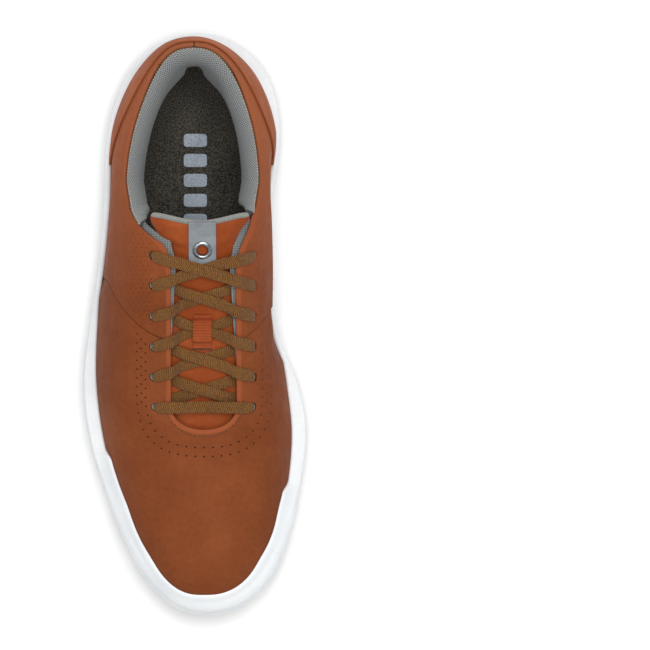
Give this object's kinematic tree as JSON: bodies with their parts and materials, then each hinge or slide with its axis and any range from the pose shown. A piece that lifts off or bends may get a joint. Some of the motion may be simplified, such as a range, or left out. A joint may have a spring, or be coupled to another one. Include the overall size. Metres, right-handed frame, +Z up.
{
  "type": "golf shoe",
  "caption": "Lace-up spikeless golf shoe for the right foot: leather upper with padded collar and tongue on a cup sole with a lugged tread.",
  "frame": {"origin": "bottom centre of the bounding box, on the ground under the lugs", "axes": "+X towards the inner (medial) side, +Y from toe to heel, +Z up"},
  "size_m": [0.115, 0.3, 0.1069],
  "materials": {
    "rim": "satin",
    "tread": "matte",
    "sole_foam": "matte",
    "shank": "matte",
    "board": "matte",
    "insole_foam": "matte",
    "insole_cloth": "matte",
    "vamp_leather": "satin",
    "quarter_leather": "satin",
    "foxing_leather": "satin",
    "lining_cloth": "matte",
    "stiffener": "matte",
    "counter_board": "matte",
    "collar_mesh": "matte",
    "padding": "matte",
    "tongue_leather": "satin",
    "tab_webbing": "matte",
    "eyelet_metal": "brushed",
    "keeper_webbing": "matte",
    "lace_cord": "matte",
    "aglet_film": "gloss"
  },
  "bodies": {
    "shoe": {"midsole_cup": "rim", "outsole": "tread", "midsole_filler": "sole_foam", "shank_plate": "shank", "strobel_board": "board", "insole_foam": "insole_foam", "insole_cover": "insole_cloth", "vamp": "vamp_leather", "quarter_lateral": "quarter_leather", "quarter_medial": "quarter_leather", "heel_foxing": "foxing_leather", "vamp_lining": "lining_cloth", "eyestay_stiffener_lateral": "stiffener", "eyestay_stiffener_medial": "stiffener", "toe_puff": "stiffener", "heel_counter": "counter_board", "collar_lining": "collar_mesh", "collar_foam": "padding", "tongue_leather": "tongue_leather", "tongue_foam": "padding", "tongue_lining": "collar_mesh", "lace_keeper": "keeper_webbing", "lace": "lace_cord", "aglet_a": "aglet_film", "aglet_b": "aglet_film"},
    "tongue_top": {"tongue_top_leather": "tongue_leather", "tongue_top_foam": "padding", "tongue_top_lining": "collar_mesh", "tongue_tab": "tab_webbing", "tab_eyelet": "eyelet_metal"}
  },
  "joints": [
    {"name": "tongue_fold", "type": "hinge", "parent": "shoe", "child": "tongue_top", "pos_m": [0.0048, 0.032, 0.099], "axis": [1, 0, 0], "range_deg": [-4, 80], "stiffness_Nm_per_rad": 0.06}
  ]
}
